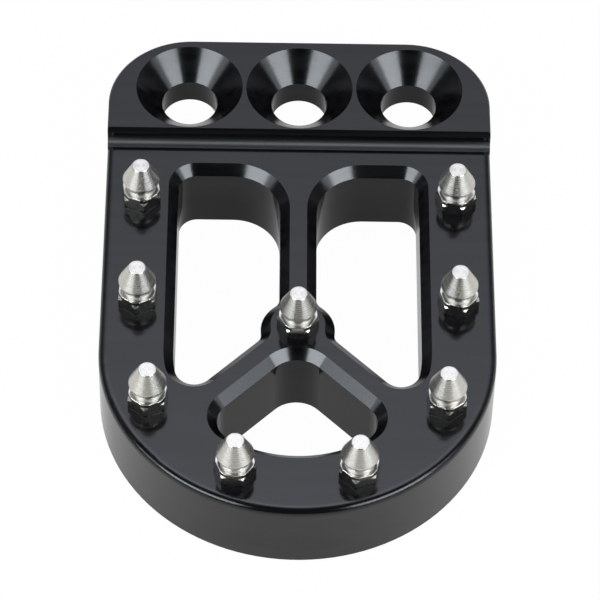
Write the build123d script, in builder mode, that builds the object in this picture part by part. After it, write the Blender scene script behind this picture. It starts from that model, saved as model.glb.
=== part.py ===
"""Brake pedal tip: a milled aluminium foot plate with nine gripping studs.

Millimetres, +Z up. The origin is the axis of the middle screw hole, on the
underside of the tab, where the tip sits on the pedal arm. +Y points to the
back edge of the tab and the round front of the plate lies towards -Y.
"""

from math import cos, radians, sin, sqrt, tan
import os

from build123d import *

os.makedirs("parts", exist_ok=True)

# Plate outline
plate_width = 65.0
rail_width = 12.2          # outer side to window wall
front_centre_y = -53.9     # centre of the round front
back_edge_y = 10.6
tab_corner_radius = 14.1

# Heights
plate_thickness = 13.5
tab_thickness = 8.8
step_height = 3.0          # tab top above deck
deck_z = tab_thickness - step_height
bottom_z = deck_z - plate_thickness

# Step between the deck and the tab
step_edge_y = -9.3         # upper edge of the step
step_chamfer = 0.7
step_fillet = 1.2
step_wall_y = step_edge_y - step_chamfer
step_foot_y = step_wall_y - step_fillet
arm_stop_y = -10.5         # wall below the tab, faces the end of the arm
arm_stop_fillet = 0.8

# Edge treatment
deck_edge_radius = 1.1
window_chamfer = 1.6
edge_break = 0.3

# Windows, hub and spokes
window_top_y = -16.1
hub_y = -48.8
hub_radius = 6.1
spine_width = 6.1
spoke_width = 5.8
spoke_angle = 45.0
outer_corner_radius = 3.2
inner_corner_radius = 8.0
hub_blend_radius = 1.8
front_window_top_radius = 5.0
front_window_end_radius = 4.0
fillet_share = 0.95        # most of the room on a short wall that a fillet may take

# Screws that hold the tip on the arm
screw_pitch = 18.8
screw_hole_radius = 4.75
screw_sink_radius = 9.1
screw_sink_angle = 90.0

# Studs: thread, flared neck and blunt cone
thread_radius = 1.75
thread_clearance = 0.05
thread_depth = 7.5         # in the plate
socket_depth = 9.5
neck_radius = 2.35
neck_flare = 0.15          # widens by this over the same height
neck_height = 1.6
cone_base_radius = 3.05
cone_rim_height = 0.2
cone_undercut = 0.3
cone_height = 3.35
cone_tip_radius = 1.42

# Nuts: hexagon below, round shoulder above
nut_across_flats = 6.0
nut_height = 2.8
shoulder_radius = 3.16     # between the flats and the corners
shoulder_z = 1.95          # foot of the shoulder, above the deck
corner_top_z = 1.6         # top of the full corners, above the deck
nut_foot_radius = 3.05     # flat face on the deck, inside the lower chamfer
nut_foot_chamfer = 0.25

# Modelling aids, not sizes of the part
overrun = 1.0              # how far a cutting shape runs past what it cuts
near = 0.05                # how close a corner or an edge must lie to be picked

# Places of the studs
stud_rear_y = -22.2
stud_middle_y = -43.9
stud_ring_angles = (-66.0, -22.0, 22.0, 66.0)   # from the -Y direction

half_width = plate_width / 2
window_half_width = half_width - rail_width
stud_line = half_width - rail_width / 2          # middle of the rail

# Each place is (x, y, turn); the turn is where one corner of the nut points,
# in degrees from the -Y direction.
side_places = [
    (-stud_line, stud_rear_y, 9.0),
    (-stud_line, stud_middle_y, -4.0),
    (stud_line, stud_middle_y, 17.0),
    (stud_line, stud_rear_y, 19.0),
]
ring_turns = (-8.0, 22.0, -12.0, 5.0)
ring_places = [
    (
        stud_line * sin(radians(angle)),
        front_centre_y - stud_line * cos(radians(angle)),
        turn,
    )
    for angle, turn in zip(stud_ring_angles, ring_turns)
]
hub_place = (0.0, hub_y, 30.0)
stud_places = side_places[:2] + ring_places + side_places[2:] + [hub_place]


def corners_near(sketch, points):
    """The corners of a sketch that lie close to the given points."""
    return [
        corner
        for corner in sketch.vertices()
        if any((corner.X - x) ** 2 + (corner.Y - y) ** 2 < near**2 for x, y in points)
    ]


def edges_at_height(part, z):
    """Edges that lie flat at one height."""
    return part.edges().filter_by_position(Axis.Z, z - near, z + near)


# Corner points of the windows before rounding
spoke_slope = radians(spoke_angle)
spoke_half = spoke_width / 2
spoke_rise = spoke_half / cos(spoke_slope)       # from a spoke's middle line to its wall, along Y
arc_to_hub = hub_y - front_centre_y


def spoke_meets_arc(rise):
    """Where a spoke wall that starts at height rise on the centre line meets the window arc."""
    start = arc_to_hub + rise
    run = start * sin(spoke_slope) + sqrt(window_half_width**2 - (start * cos(spoke_slope)) ** 2)
    return run * cos(spoke_slope), front_centre_y + start - run * sin(spoke_slope)


def below_spokes(rise, mode):
    """All that lies below two spoke walls that start at height rise on the centre line."""
    top_y = hub_y + rise
    foot_y = top_y - plate_width * tan(spoke_slope)
    corners = [(0, top_y), (-plate_width, foot_y), (plate_width, foot_y)]
    Polygon(*corners, align=None, mode=mode)


side_foot = spoke_meets_arc(spoke_rise)
front_foot = spoke_meets_arc(-spoke_rise)
spine_half = spine_width / 2
hub_spine_y = hub_y + sqrt(hub_radius**2 - spine_half**2)
hub_chord = sqrt(hub_radius**2 - spoke_half**2)
hub_spoke_x = hub_chord * cos(spoke_slope) + spoke_half * sin(spoke_slope)
hub_spoke_y = hub_y - hub_chord * sin(spoke_slope) + spoke_half * cos(spoke_slope)

# The fillet at the foot of a spoke ends before the arc becomes the straight wall. The largest
# one there touches the spoke wall and the start of the straight wall.
foot_reach = window_half_width * sin(spoke_slope) - (arc_to_hub + spoke_rise) * cos(spoke_slope)
foot_fillet_limit = foot_reach / (1 + sin(spoke_slope))
foot_fillet_radius = min(outer_corner_radius, fillet_share * foot_fillet_limit)

# Plate body
with BuildPart() as pedal_body:
    # Front block up to the deck
    with BuildSketch(Plane.XY.offset(bottom_z)):
        with Locations((0, front_centre_y)):
            Circle(half_width)
        with Locations((0, (front_centre_y + arm_stop_y) / 2)):
            Rectangle(plate_width, arm_stop_y - front_centre_y)
    extrude(amount=plate_thickness)
    rim = edges_at_height(pedal_body, deck_z).filter_by(lambda e: e.center().Y < step_foot_y - near)
    fillet(rim, radius=deck_edge_radius)

    # Tab, rounded at its two back corners
    with BuildSketch(Plane.XY) as tab_outline:
        with Locations((0, (step_foot_y + back_edge_y) / 2)):
            Rectangle(plate_width, back_edge_y - step_foot_y)
        back_corners = tab_outline.vertices().group_by(Axis.Y)[-1]
        fillet(back_corners, radius=tab_corner_radius)
    extrude(amount=tab_thickness)

    # Step: fillet at the foot, wall, small chamfer at the top
    with BuildSketch(Plane.YZ):
        with BuildLine():
            RadiusArc(
                (step_foot_y, deck_z),
                (step_wall_y, deck_z + step_fillet),
                -step_fillet,
            )
            Polyline(
                (step_wall_y, deck_z + step_fillet),
                (step_wall_y, tab_thickness - step_chamfer),
                (step_edge_y, tab_thickness),
                (step_edge_y, tab_thickness + overrun),
                (step_foot_y - overrun, tab_thickness + overrun),
                (step_foot_y - overrun, deck_z),
                (step_foot_y, deck_z),
            )
        make_face()
    extrude(amount=half_width + overrun, both=True, mode=Mode.SUBTRACT)

    # Two side windows, shaped by the spine, the hub and the spokes
    with BuildSketch(Plane.XY.offset(deck_z)) as side_windows:
        with Locations((0, front_centre_y)):
            Circle(window_half_width)
        with Locations((0, (front_centre_y + window_top_y) / 2)):
            Rectangle(2 * window_half_width, window_top_y - front_centre_y)
        with Locations((0, (hub_y + window_top_y) / 2)):
            Rectangle(spine_width, window_top_y - hub_y, mode=Mode.SUBTRACT)
        with Locations((0, hub_y)):
            Circle(hub_radius, mode=Mode.SUBTRACT)
        below_spokes(spoke_rise, Mode.SUBTRACT)
        for radius, x, y in (
            (outer_corner_radius, window_half_width, window_top_y),
            (inner_corner_radius, spine_half, window_top_y),
            (foot_fillet_radius, *side_foot),
            (hub_blend_radius, spine_half, hub_spine_y),
            (hub_blend_radius, hub_spoke_x, hub_spoke_y),
        ):
            fillet(corners_near(side_windows, [(x, y), (-x, y)]), radius=radius)
    extrude(amount=-plate_thickness, mode=Mode.SUBTRACT)

    # Front window between the spokes and the round front
    with BuildSketch(Plane.XY.offset(deck_z)) as front_window:
        with Locations((0, front_centre_y)):
            Circle(window_half_width)
        below_spokes(-spoke_rise, Mode.INTERSECT)
        for radius, x, y in (
            (front_window_top_radius, 0, hub_y - spoke_rise),
            (front_window_end_radius, *front_foot),
        ):
            fillet(corners_near(front_window, [(x, y), (-x, y)]), radius=radius)
    extrude(amount=-plate_thickness, mode=Mode.SUBTRACT)

    # Chamfer round the windows; the outer rim of the deck is rounded already
    def inside_rim(edge):
        x, y = edge.center().X, edge.center().Y
        if y > front_centre_y:
            return abs(x) < window_half_width + near and y < window_top_y + near
        return x**2 + (y - front_centre_y) ** 2 < (window_half_width + near) ** 2

    chamfer(edges_at_height(pedal_body, deck_z).filter_by(inside_rim), length=window_chamfer)

    # Small breaks on the lower edges and on the outline of the tab top
    chamfer(edges_at_height(pedal_body, bottom_z), length=edge_break)
    tab_rim = edges_at_height(pedal_body, tab_thickness)
    tab_rim = tab_rim.filter_by(lambda e: e.center().Y > step_edge_y + near)
    chamfer(tab_rim, length=edge_break)

    # Inner corner where the end of the arm sits
    arm_corner = edges_at_height(pedal_body, 0).filter_by(Axis.X)
    arm_corner = arm_corner.filter_by(lambda e: abs(e.center().Y - arm_stop_y) < near)
    fillet(arm_corner, radius=arm_stop_fillet)

    # Three countersunk screw holes
    with Locations(*[(i * screw_pitch, 0, tab_thickness) for i in (-1, 0, 1)]):
        CounterSinkHole(
            radius=screw_hole_radius,
            counter_sink_radius=screw_sink_radius,
            counter_sink_angle=screw_sink_angle,
        )

    # Nine blind stud sockets
    with Locations(*[(x, y, deck_z) for x, y, turn in stud_places]):
        Hole(radius=thread_radius + thread_clearance, depth=socket_depth)

pedal_body.part.label = "pedal_body"
export_step(pedal_body.part, "parts/pedal_body.step")

# Studs and nuts
nut_top_z = deck_z + nut_height
cone_rim_z = nut_top_z + neck_height
cone_base_z = cone_rim_z + cone_undercut + cone_rim_height
tip_z = cone_base_z + cone_height
shank_end_z = deck_z - thread_depth
corner_radius = nut_across_flats / sqrt(3)
clear_radius = corner_radius + overrun

for number, (x, y, turn) in enumerate(stud_places, start=1):
    axis_plane = Plane(origin=(x, y, 0), x_dir=(1, 0, 0), z_dir=(0, -1, 0))
    stud_axis = Axis((x, y, 0), (0, 0, 1))

    with BuildPart() as stud:
        with BuildSketch(axis_plane):
            with BuildLine():
                Polyline(
                    (neck_radius + neck_flare, nut_top_z),
                    (thread_radius, nut_top_z),
                    (thread_radius, shank_end_z),
                    (0, shank_end_z),
                    (0, tip_z),
                    (cone_tip_radius, tip_z),
                    (cone_base_radius, cone_base_z),
                    (cone_base_radius, cone_base_z - cone_rim_height),
                    (neck_radius, cone_rim_z),
                    (neck_radius, nut_top_z + neck_flare),
                    close=True,
                )
            make_face()
        revolve(axis=stud_axis)
    stud.part.label = f"stud_{number}"
    export_step(stud.part, f"parts/stud_{number}.step")

    with BuildPart() as nut:
        with BuildSketch(Plane.XY.offset(deck_z)):
            with Locations((x, y)):
                RegularPolygon(radius=corner_radius, side_count=6, rotation=turn - 90)
                Circle(thread_radius + thread_clearance, mode=Mode.SUBTRACT)
        extrude(amount=nut_height)
        # The turned profile takes the corners off above and below
        with BuildSketch(axis_plane):
            with BuildLine():
                Polyline(
                    (shoulder_radius, nut_top_z),
                    (shoulder_radius, deck_z + shoulder_z),
                    (corner_radius, deck_z + corner_top_z),
                    (clear_radius, deck_z + corner_top_z),
                    (clear_radius, nut_top_z),
                    close=True,
                )
            make_face()
            with BuildLine():
                Polyline(
                    (nut_foot_radius, deck_z),
                    (corner_radius, deck_z + nut_foot_chamfer),
                    (clear_radius, deck_z + nut_foot_chamfer),
                    (clear_radius, deck_z),
                    close=True,
                )
            make_face()
        revolve(axis=stud_axis, mode=Mode.SUBTRACT)
    nut.part.label = f"nut_{number}"
    export_step(nut.part, f"parts/nut_{number}.step")
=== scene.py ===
from math import cos, radians, sin

import bpy
from mathutils import Matrix, Vector


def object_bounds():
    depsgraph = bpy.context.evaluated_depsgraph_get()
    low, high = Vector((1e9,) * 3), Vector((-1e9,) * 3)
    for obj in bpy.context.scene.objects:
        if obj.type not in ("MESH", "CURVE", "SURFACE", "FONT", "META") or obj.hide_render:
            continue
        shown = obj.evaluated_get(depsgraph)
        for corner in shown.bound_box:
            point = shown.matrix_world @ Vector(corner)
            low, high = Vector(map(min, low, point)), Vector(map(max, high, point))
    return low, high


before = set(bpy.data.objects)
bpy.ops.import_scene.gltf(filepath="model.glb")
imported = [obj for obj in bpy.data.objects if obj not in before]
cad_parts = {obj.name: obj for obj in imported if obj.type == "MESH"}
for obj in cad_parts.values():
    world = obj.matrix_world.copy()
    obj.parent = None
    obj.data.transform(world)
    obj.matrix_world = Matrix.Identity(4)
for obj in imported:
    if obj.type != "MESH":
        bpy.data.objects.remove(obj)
cadLow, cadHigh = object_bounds()
mm = 0.001
bevelSamples = 8
white = (1.0, 1.0, 1.0, 1.0)
print("frame loaded:", len(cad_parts), "nodes")


# Helpers

def toLinear(hexColour):
    channels = [int(hexColour[i:i + 2], 16) / 255 for i in (1, 3, 5)]
    linear = [c / 12.92 if c <= 0.04045 else ((c + 0.055) / 1.055) ** 2.4 for c in channels]
    return (*linear, 1.0)


def addNode(tree, kind, settings=None, links=None):
    node = tree.nodes.new(kind)
    for name, value in (settings or {}).items():
        if isinstance(name, int) or name in node.inputs:
            node.inputs[name].default_value = value
        else:
            setattr(node, name, value)
    for name, (source, output) in (links or {}).items():
        tree.links.new(source.outputs[output], node.inputs[name])
    return node


def newMaterial(name):
    material = bpy.data.materials.new(name)
    material.use_nodes = True
    material.node_tree.nodes.clear()
    return material, material.node_tree


def closeMaterial(tree, shader):
    addNode(tree, "ShaderNodeOutputMaterial", links={"Surface": (shader, "BSDF")})


# Black anodised aluminium, milled from plate: near black dye under a hard clear
# oxide, so flats mirror the room weakly and fine cutter lines drift across them
anodised = {
    "dye": "#030304",
    "wornDye": "#0f0f0f",
    "streakLength": 30.0 * mm,
    "streakWidth": 1.6 * mm,
    "streakContrast": (0.3, 0.7),
    "ior": 1.45,
    "roughness": (0.07, 0.16),
    "lineSpacing": 0.35 * mm,
    "lineStretch": 0.04,
    "lineHeight": 0.0006 * mm,
    "lineStrength": 0.12,
    "edgeSoftness": 0.05 * mm,
}
# The deck's outer rim is blended softer than its neighbours
rim = {
    "halfWidth": cadHigh.x,
    "frontCentre": cadLow.y + cadHigh.x,
    "reach": 2.5 * mm,
    "fade": 0.4 * mm,
    "low": 2.4 * mm,
    "stepFoot": -11.4 * mm,
    "softness": 0.9 * mm,
}
# The form tools that cut the 45 degree chamfers and countersinks left them less
# smooth; the pairs fade that in as a face leans away from a wall and from a flat
formCut = {"roughness": 0.06, "pastWall": (0.5, 0.65), "pastFlat": (0.9, 0.75)}


def addFade(tree, source, output, start, end):
    # 0 at start, 1 at end, smooth between them
    return addNode(
        tree, "ShaderNodeMapRange",
        {"interpolation_type": "SMOOTHSTEP", "From Min": start, "From Max": end},
        {"Value": (source, output)},
    )


def addSpread(tree, noise, ends):
    # Spreads a noise between two values
    return addNode(
        tree, "ShaderNodeMapRange", {"To Min": ends[0], "To Max": ends[1]},
        {"Value": (noise, "Fac")},
    )


def addMix(tree, first, second, share):
    # Blend of two hex colours
    return addNode(
        tree, "ShaderNodeMix",
        {"data_type": "RGBA", "A": toLinear(first), "B": toLinear(second)},
        {"Factor": (share, "Result")},
    )


def addRimSoftness(tree, place):
    # Radius of the blended normal: wide along the outer rim of the deck, small elsewhere
    axes = addNode(tree, "ShaderNodeSeparateXYZ", links={"Vector": (place, "Object")})
    ahead = addNode(
        tree, "ShaderNodeMath", {"operation": "SUBTRACT", 1: rim["frontCentre"]},
        {0: (axes, "Y")},
    )
    bent = addNode(tree, "ShaderNodeMath", {"operation": "MINIMUM", 1: 0.0}, {0: (ahead, "Value")})
    across = addNode(tree, "ShaderNodeCombineXYZ", links={"X": (axes, "X"), "Y": (bent, "Value")})
    reach = addNode(tree, "ShaderNodeVectorMath", {"operation": "LENGTH"}, {0: (across, "Vector")})
    edge = rim["halfWidth"] - rim["reach"]
    outer = addFade(tree, reach, "Value", edge, edge + rim["fade"])
    upper = addFade(tree, axes, "Z", rim["low"], rim["low"] + rim["fade"])
    front = addFade(tree, axes, "Y", rim["stepFoot"], rim["stepFoot"] - rim["fade"])
    both = addNode(
        tree, "ShaderNodeMath", {"operation": "MULTIPLY"},
        {0: (outer, "Result"), 1: (upper, "Result")},
    )
    every = addNode(
        tree, "ShaderNodeMath", {"operation": "MULTIPLY"},
        {0: (both, "Value"), 1: (front, "Result")},
    )
    return addNode(
        tree, "ShaderNodeMapRange",
        {"To Min": anodised["edgeSoftness"], "To Max": rim["softness"]},
        {"Value": (every, "Value")},
    )


# The step was cut with the side of the cutter, so its marks run down the profile
# and draw the strip boxes out into one soft line along the fillet
step = {
    "front": -11.35 * mm,
    "back": -9.8 * mm,
    "top": 7.0 * mm,
    "fade": 0.15 * mm,
    "roughness": (0.46, 0.58),
    "anisotropy": 0.4,
    "ior": 1.8,
    "quarterTurn": 0.25,
    "markSpacing": 0.3 * mm,
    "markStretch": 0.05,
}


def addStepMask(tree, place):
    axes = addNode(tree, "ShaderNodeSeparateXYZ", links={"Vector": (place, "Object")})
    front = addFade(tree, axes, "Y", step["front"], step["front"] + step["fade"])
    back = addFade(tree, axes, "Y", step["back"], step["back"] - step["fade"])
    below = addFade(tree, axes, "Z", step["top"], step["top"] - step["fade"])
    across = addNode(
        tree, "ShaderNodeMath", {"operation": "MULTIPLY"},
        {0: (front, "Result"), 1: (back, "Result")},
    )
    return addNode(
        tree, "ShaderNodeMath", {"operation": "MULTIPLY"},
        {0: (across, "Value"), 1: (below, "Result")},
    )


def addSideCut(tree, place):
    stretch = addNode(
        tree, "ShaderNodeMapping",
        {"Scale": (1.0, step["markStretch"], step["markStretch"])},
        {"Vector": (place, "Object")},
    )
    marks = addNode(
        tree, "ShaderNodeTexNoise",
        {"Scale": 1 / step["markSpacing"], "Detail": 2.0},
        {"Vector": (stretch, "Vector")},
    )
    gloss = addSpread(tree, marks, step["roughness"])
    alongProfile = addNode(tree, "ShaderNodeTangent", {"direction_type": "RADIAL", "axis": "X"})
    return addNode(
        tree, "ShaderNodeBsdfPrincipled",
        {
            "Base Color": toLinear(anodised["dye"]),
            "IOR": step["ior"],
            "Anisotropic": step["anisotropy"],
            "Anisotropic Rotation": step["quarterTurn"],
        },
        {"Roughness": (gloss, "Result"), "Tangent": (alongProfile, "Tangent")},
    )


def addFormCutRoughness(tree):
    facing = addNode(tree, "ShaderNodeNewGeometry")
    lean = addNode(tree, "ShaderNodeSeparateXYZ", links={"Vector": (facing, "Normal")})
    above = addFade(tree, lean, "Z", *formCut["pastWall"])
    below = addFade(tree, lean, "Z", *formCut["pastFlat"])
    slanted = addNode(
        tree, "ShaderNodeMath", {"operation": "MULTIPLY"},
        {0: (above, "Result"), 1: (below, "Result")},
    )
    return addNode(
        tree, "ShaderNodeMath", {"operation": "MULTIPLY", 1: formCut["roughness"]},
        {0: (slanted, "Value")},
    )


def makeAnodised():
    material, tree = newMaterial("blackAnodisedAluminium")
    place = addNode(tree, "ShaderNodeTexCoord")
    # Cutter lines run along X, so the noise is drawn out that way
    stretch = addNode(
        tree, "ShaderNodeMapping",
        {"Scale": (anodised["lineStretch"], 1.0, 1.0)},
        {"Vector": (place, "Object")},
    )
    lines = addNode(
        tree, "ShaderNodeTexNoise",
        {"Scale": 1 / anodised["lineSpacing"], "Detail": 3.0, "Roughness": 0.6},
        {"Vector": (stretch, "Vector")},
    )
    softness = addRimSoftness(tree, place)
    rounded = addNode(tree, "ShaderNodeBevel", {"samples": bevelSamples}, {"Radius": (softness, "Result")})
    bump = addNode(
        tree, "ShaderNodeBump",
        {"Strength": anodised["lineStrength"], "Distance": anodised["lineHeight"]},
        {"Height": (lines, "Fac"), "Normal": (rounded, "Normal")},
    )
    gloss = addSpread(tree, lines, anodised["roughness"])
    extra = addFormCutRoughness(tree)
    finish = addNode(
        tree, "ShaderNodeMath", {"operation": "ADD"},
        {0: (gloss, "Result"), 1: (extra, "Value")},
    )
    # The dye took unevenly, in soft streaks along the cutter's way
    long, wide = 1 / anodised["streakLength"], 1 / anodised["streakWidth"]
    drawOut = addNode(
        tree, "ShaderNodeMapping", {"Scale": (long, wide, wide)}, {"Vector": (place, "Object")}
    )
    streaks = addNode(
        tree, "ShaderNodeTexNoise", {"Scale": 1.0, "Detail": 4.0}, {"Vector": (drawOut, "Vector")}
    )
    contrast = addFade(tree, streaks, "Fac", *anodised["streakContrast"])
    dye = addMix(tree, anodised["dye"], anodised["wornDye"], contrast)
    shader = addNode(
        tree, "ShaderNodeBsdfPrincipled",
        {"IOR": anodised["ior"]},
        {"Base Color": (dye, "Result"), "Roughness": (finish, "Value"), "Normal": (bump, "Normal")},
    )
    sideCut = addSideCut(tree, place)
    mask = addStepMask(tree, place)
    mix = addNode(tree, "ShaderNodeMixShader", links={"Fac": (mask, "Value")})
    tree.links.new(shader.outputs["BSDF"], mix.inputs[1])
    tree.links.new(sideCut.outputs["BSDF"], mix.inputs[2])
    addNode(tree, "ShaderNodeOutputMaterial", links={"Surface": (mix, "Shader")})
    return material


# Turned stainless steel: satin, with the lathe's rings round cone and tip, so
# the strip boxes draw out into two soft light bands up each cone
turned = {
    "steel": "#d9d6ce",
    "ringSteel": "#c9c6bf",
    "roughness": (0.22, 0.33),
    "anisotropy": 0.85,
    "quarterTurn": 0.25,
    "diameter": 6.1 * mm,
    "ringSpacing": 0.2 * mm,
    "ringHeight": 0.00012 * mm,
    "ringStrength": 0.5,
    "ringContrast": (0.35, 0.65),
    "neckRough": 0.35,
    "neckFoot": 8.75 * mm,
    "neckTop": 9.3 * mm,
    "edgeWear": 0.25 * mm,
}


def makeTurned():
    material, tree = newMaterial("turnedStainlessSteel")
    place = addNode(tree, "ShaderNodeTexCoord")
    # Distance from the stud's axis less height: grows evenly across tip, cone and neck
    across = addNode(
        tree, "ShaderNodeVectorMath", {"operation": "SUBTRACT", 1: (0.5, 0.5, 0.0)},
        {0: (place, "Generated")},
    )
    flat = addNode(
        tree, "ShaderNodeVectorMath",
        {"operation": "MULTIPLY", 1: (turned["diameter"], turned["diameter"], 0.0)},
        {0: (across, "Vector")},
    )
    radius = addNode(tree, "ShaderNodeVectorMath", {"operation": "LENGTH"}, {0: (flat, "Vector")})
    axes = addNode(tree, "ShaderNodeSeparateXYZ", links={"Vector": (place, "Object")})
    travel = addNode(
        tree, "ShaderNodeMath", {"operation": "SUBTRACT"},
        {0: (radius, "Value"), 1: (axes, "Z")},
    )
    rings = addNode(
        tree, "ShaderNodeTexNoise",
        {"noise_dimensions": "1D", "Scale": 1 / turned["ringSpacing"], "Detail": 2.0},
        {"W": (travel, "Value")},
    )
    finish = addSpread(tree, rings, turned["roughness"])
    # The foot of the neck keeps the rougher cut of the parting tool
    foot = addNode(
        tree, "ShaderNodeMapRange",
        {
            "From Min": turned["neckTop"],
            "From Max": turned["neckFoot"],
            "To Min": 0.0,
            "To Max": turned["neckRough"],
        },
        {"Value": (axes, "Z")},
    )
    gloss = addNode(
        tree, "ShaderNodeMath", {"operation": "ADD"},
        {0: (finish, "Result"), 1: (foot, "Result")},
    )
    worn = addNode(tree, "ShaderNodeBevel", {"samples": bevelSamples, "Radius": turned["edgeWear"]})
    bump = addNode(
        tree, "ShaderNodeBump",
        {"Strength": turned["ringStrength"], "Distance": turned["ringHeight"]},
        {"Height": (rings, "Fac"), "Normal": (worn, "Normal")},
    )
    cut = addFade(tree, rings, "Fac", *turned["ringContrast"])
    steel = addMix(tree, turned["ringSteel"], turned["steel"], cut)
    grooves = addNode(tree, "ShaderNodeTangent", {"direction_type": "RADIAL", "axis": "Z"})
    shader = addNode(
        tree, "ShaderNodeBsdfPrincipled",
        {
            "Metallic": 1.0,
            "Anisotropic": turned["anisotropy"],
            "Anisotropic Rotation": turned["quarterTurn"],
        },
        {
            "Base Color": (steel, "Result"),
            "Roughness": (gloss, "Value"),
            "Normal": (bump, "Normal"),
            "Tangent": (grooves, "Tangent"),
        },
    )
    closeMaterial(tree, shader)
    return material


# Drawn stainless steel bar: the flats keep the drawing die's satin and mirror the
# dark deck, while the turned top, the corners and the worn edges flash
drawn = {
    "steel": "#cfccc5",
    "flatRoughness": 0.24,
    "topRoughness": 0.2,
    "leanToTop": (0.1, 0.5),
    "grainSpacing": 0.25 * mm,
    "grainStretch": 0.08,
    "grainRoughness": (-0.06, 0.06),
    "grainHeight": 0.002 * mm,
    "grainStrength": 0.2,
    "edgeWear": 0.22 * mm,
}


def makeDrawn():
    material, tree = newMaterial("drawnStainlessSteel")
    place = addNode(tree, "ShaderNodeTexCoord")
    # Drawing lines run up the flats
    stretch = addNode(
        tree, "ShaderNodeMapping",
        {"Scale": (1.0, 1.0, drawn["grainStretch"])},
        {"Vector": (place, "Object")},
    )
    grain = addNode(
        tree, "ShaderNodeTexNoise",
        {"Scale": 1 / drawn["grainSpacing"], "Detail": 2.0},
        {"Vector": (stretch, "Vector")},
    )
    facing = addNode(tree, "ShaderNodeNewGeometry")
    lean = addNode(tree, "ShaderNodeSeparateXYZ", links={"Vector": (facing, "Normal")})
    base = addNode(
        tree, "ShaderNodeMapRange",
        {
            "From Min": drawn["leanToTop"][0],
            "From Max": drawn["leanToTop"][1],
            "To Min": drawn["flatRoughness"],
            "To Max": drawn["topRoughness"],
        },
        {"Value": (lean, "Z")},
    )
    uneven = addSpread(tree, grain, drawn["grainRoughness"])
    gloss = addNode(
        tree, "ShaderNodeMath", {"operation": "ADD"},
        {0: (base, "Result"), 1: (uneven, "Result")},
    )
    worn = addNode(tree, "ShaderNodeBevel", {"samples": bevelSamples, "Radius": drawn["edgeWear"]})
    bump = addNode(
        tree, "ShaderNodeBump",
        {"Strength": drawn["grainStrength"], "Distance": drawn["grainHeight"]},
        {"Height": (grain, "Fac"), "Normal": (worn, "Normal")},
    )
    shader = addNode(
        tree, "ShaderNodeBsdfPrincipled",
        {"Base Color": toLinear(drawn["steel"]), "Metallic": 1.0},
        {"Roughness": (gloss, "Value"), "Normal": (bump, "Normal")},
    )
    closeMaterial(tree, shader)
    return material


blackAnodisedAluminium = makeAnodised()
turnedStainlessSteel = makeTurned()
drawnStainlessSteel = makeDrawn()
for name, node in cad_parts.items():
    node.data.materials.clear()
    if name == "pedal_body":
        node.data.materials.append(blackAnodisedAluminium)
    elif name.startswith("stud_"):
        node.data.materials.append(turnedStainlessSteel)
    else:
        node.data.materials.append(drawnStainlessSteel)
print("materials set")


# White studio table: it glows a little and takes the object's shadow, and its
# open floor is lifted to white for the camera
table = {"size": 4.0, "colour": "#b8b5ad", "glow": 0.42, "lift": 0.97}


def makeFloor():
    mesh = bpy.data.meshes.new("floor")
    half = table["size"] / 2
    corners = [(-half, -half), (half, -half), (half, half), (-half, half)]
    mesh.from_pydata([(x, y, cadLow.z) for x, y in corners], [], [(0, 1, 2, 3)])
    floor = bpy.data.objects.new("floor", mesh)
    bpy.context.collection.objects.link(floor)
    material, tree = newMaterial("whiteTable")
    rays = addNode(tree, "ShaderNodeLightPath")
    cloth = addNode(tree, "ShaderNodeBsdfDiffuse", {"Color": toLinear(table["colour"])})
    glow = addNode(tree, "ShaderNodeEmission", {"Color": white, "Strength": table["glow"]})
    lit = addNode(tree, "ShaderNodeAddShader")
    tree.links.new(cloth.outputs["BSDF"], lit.inputs[0])
    tree.links.new(glow.outputs["Emission"], lit.inputs[1])
    clean = addNode(tree, "ShaderNodeEmission", {"Color": white, "Strength": 1.0})
    share = addNode(
        tree, "ShaderNodeMath", {"operation": "MULTIPLY", 1: table["lift"]},
        {0: (rays, "Is Camera Ray")},
    )
    mix = addNode(tree, "ShaderNodeMixShader", links={"Fac": (share, "Value")})
    tree.links.new(lit.outputs["Shader"], mix.inputs[1])
    tree.links.new(clean.outputs["Emission"], mix.inputs[2])
    addNode(tree, "ShaderNodeOutputMaterial", links={"Surface": (mix, "Shader")})
    mesh.materials.append(material)


makeFloor()


# Studio: a slanted strip box at each side, a wall that brightens upwards behind
# the plate and ends short of the ceiling, and a dark room on the camera's side
studio = {
    "aim": Vector((0.0, -0.0437, 0.0058)),
    "strips": {
        "azimuth": 48.5,
        "elevation": 32.5,
        "slant": 17.0,
        "distance": 0.9,
        "size": (0.58, 0.3),
        "power": 4.8,
    },
    # Dimmer boxes reach further round and soften the strips' far ends
    "fills": {
        "azimuth": 57.0,
        "elevation": 30.0,
        "slant": 17.0,
        "distance": 0.92,
        "size": (0.83, 0.3),
        "power": 2.5,
    },
    "tint": "#f0f7ff",
}
# The room's light by direction: depth and wallEdge are ranges of its part away
# from the camera, and light is the strength at both ends of depth
room = {
    "tint": "#f0f3ff",
    "depth": (-0.3, 0.5),
    "light": (0.02, 0.3),
    "wallEdge": (0.22, 0.42),
    "wallLight": 7.4,
    "wallSteepness": 7.0,
}


def direction(azimuth, elevation):
    # azimuth 0 is towards the camera, positive to the right
    turn, rise = radians(azimuth), radians(elevation)
    return Vector((sin(turn) * cos(rise), -cos(turn) * cos(rise), sin(rise)))


def addBox(name, side, lamp):
    # side is 1 on the right and -1 on the left
    light = bpy.data.lights.new(name, "AREA")
    light.shape = "RECTANGLE"
    light.size, light.size_y = lamp["size"]
    light.energy = lamp["power"]
    light.color = toLinear(studio["tint"])[:3]
    box = bpy.data.objects.new(name, light)
    back = direction(side * lamp["azimuth"], lamp["elevation"])
    slant = Matrix.Rotation(-side * radians(lamp["slant"]), 4, "Z")
    turn = back.to_track_quat("Z", "Y").to_matrix().to_4x4() @ slant
    box.matrix_world = Matrix.Translation(studio["aim"] + back * lamp["distance"]) @ turn
    bpy.context.collection.objects.link(box)


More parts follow.
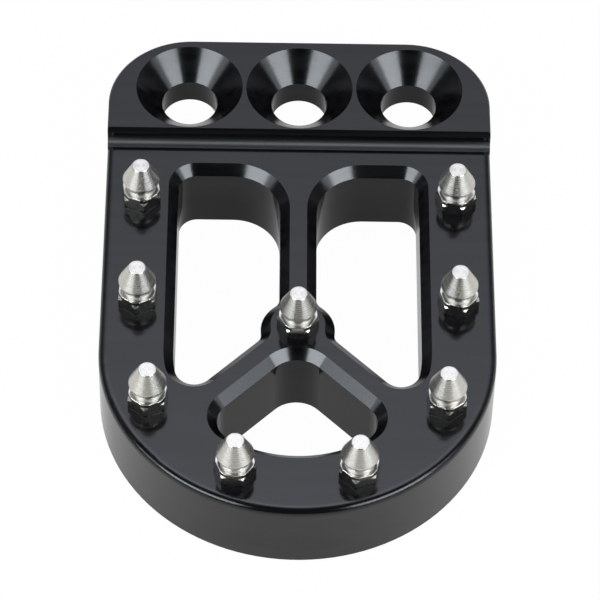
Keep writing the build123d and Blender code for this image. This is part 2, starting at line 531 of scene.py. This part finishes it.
for name, side in (("Left", -1), ("Right", 1)):
    addBox("strip" + name, side, studio["strips"])
    addBox("fill" + name, side, studio["fills"])


def makeWorld():
    world = bpy.data.worlds.new("studioRoom")
    bpy.context.scene.world = world
    world.use_nodes = True
    tree = world.node_tree
    tree.nodes.clear()
    place = addNode(tree, "ShaderNodeTexCoord")
    axes = addNode(tree, "ShaderNodeSeparateXYZ", links={"Vector": (place, "Generated")})
    # Nearly dark behind the camera, grey at the back
    depth = addNode(
        tree, "ShaderNodeMapRange",
        {
            "From Min": room["depth"][0],
            "From Max": room["depth"][1],
            "To Min": room["light"][0],
            "To Max": room["light"][1],
        },
        {"Value": (axes, "Y")},
    )
    height = addNode(
        tree, "ShaderNodeMath", {"operation": "MAXIMUM", 1: 0.0},
        {0: (axes, "Z")},
    )
    climb = addNode(
        tree, "ShaderNodeMath", {"operation": "POWER", 1: room["wallSteepness"]},
        {0: (height, "Value")},
    )
    edge = addNode(
        tree, "ShaderNodeMapRange",
        {
            "From Min": room["wallEdge"][0],
            "From Max": room["wallEdge"][1],
            "To Min": 0.0,
            "To Max": room["wallLight"],
        },
        {"Value": (axes, "Y")},
    )
    walls = addNode(
        tree, "ShaderNodeMath", {"operation": "MULTIPLY_ADD"},
        {0: (climb, "Value"), 1: (edge, "Result"), 2: (depth, "Result")},
    )
    rays = addNode(tree, "ShaderNodeLightPath")
    shown = addNode(
        tree, "ShaderNodeMath", {"operation": "MAXIMUM"},
        {0: (rays, "Is Camera Ray"), 1: (walls, "Value")},
    )
    tint = addNode(
        tree, "ShaderNodeMix",
        {"data_type": "RGBA", "A": toLinear(room["tint"]), "B": white},
        {"Factor": (rays, "Is Camera Ray")},
    )
    light = addNode(
        tree, "ShaderNodeBackground",
        links={"Color": (tint, "Result"), "Strength": (shown, "Value")},
    )
    addNode(tree, "ShaderNodeOutputWorld", links={"Surface": (light, "Background")})


makeWorld()
print("studio lit")


# Camera: the photograph's own view, with a long lens from the front
shot = {
    "aim": Vector((0.00032, -0.04374, 0.0058)),
    "distance": 0.62495,
    "elevation": 51.906,
    "yaw": 0.958,
    "roll": 1.518,
    "lens": 227.74,
}


def makeCamera():
    yaw, elevation, roll = radians(shot["yaw"]), radians(shot["elevation"]), radians(shot["roll"])
    forward = Vector((sin(yaw) * cos(elevation), cos(yaw) * cos(elevation), -sin(elevation)))
    level = Vector((cos(yaw), -sin(yaw), 0.0))
    upright = level.cross(forward)
    right = cos(roll) * level + sin(roll) * upright
    up = cos(roll) * upright - sin(roll) * level
    lens = bpy.data.cameras.new("camera")
    lens.lens = shot["lens"]
    camera = bpy.data.objects.new("camera", lens)
    turn = Matrix((right, up, -forward)).transposed().to_4x4()
    camera.matrix_world = Matrix.Translation(shot["aim"] - forward * shot["distance"]) @ turn
    bpy.context.collection.objects.link(camera)
    bpy.context.scene.camera = camera


makeCamera()
bpy.context.scene.view_settings.view_transform = "Standard"

print("scene ready")
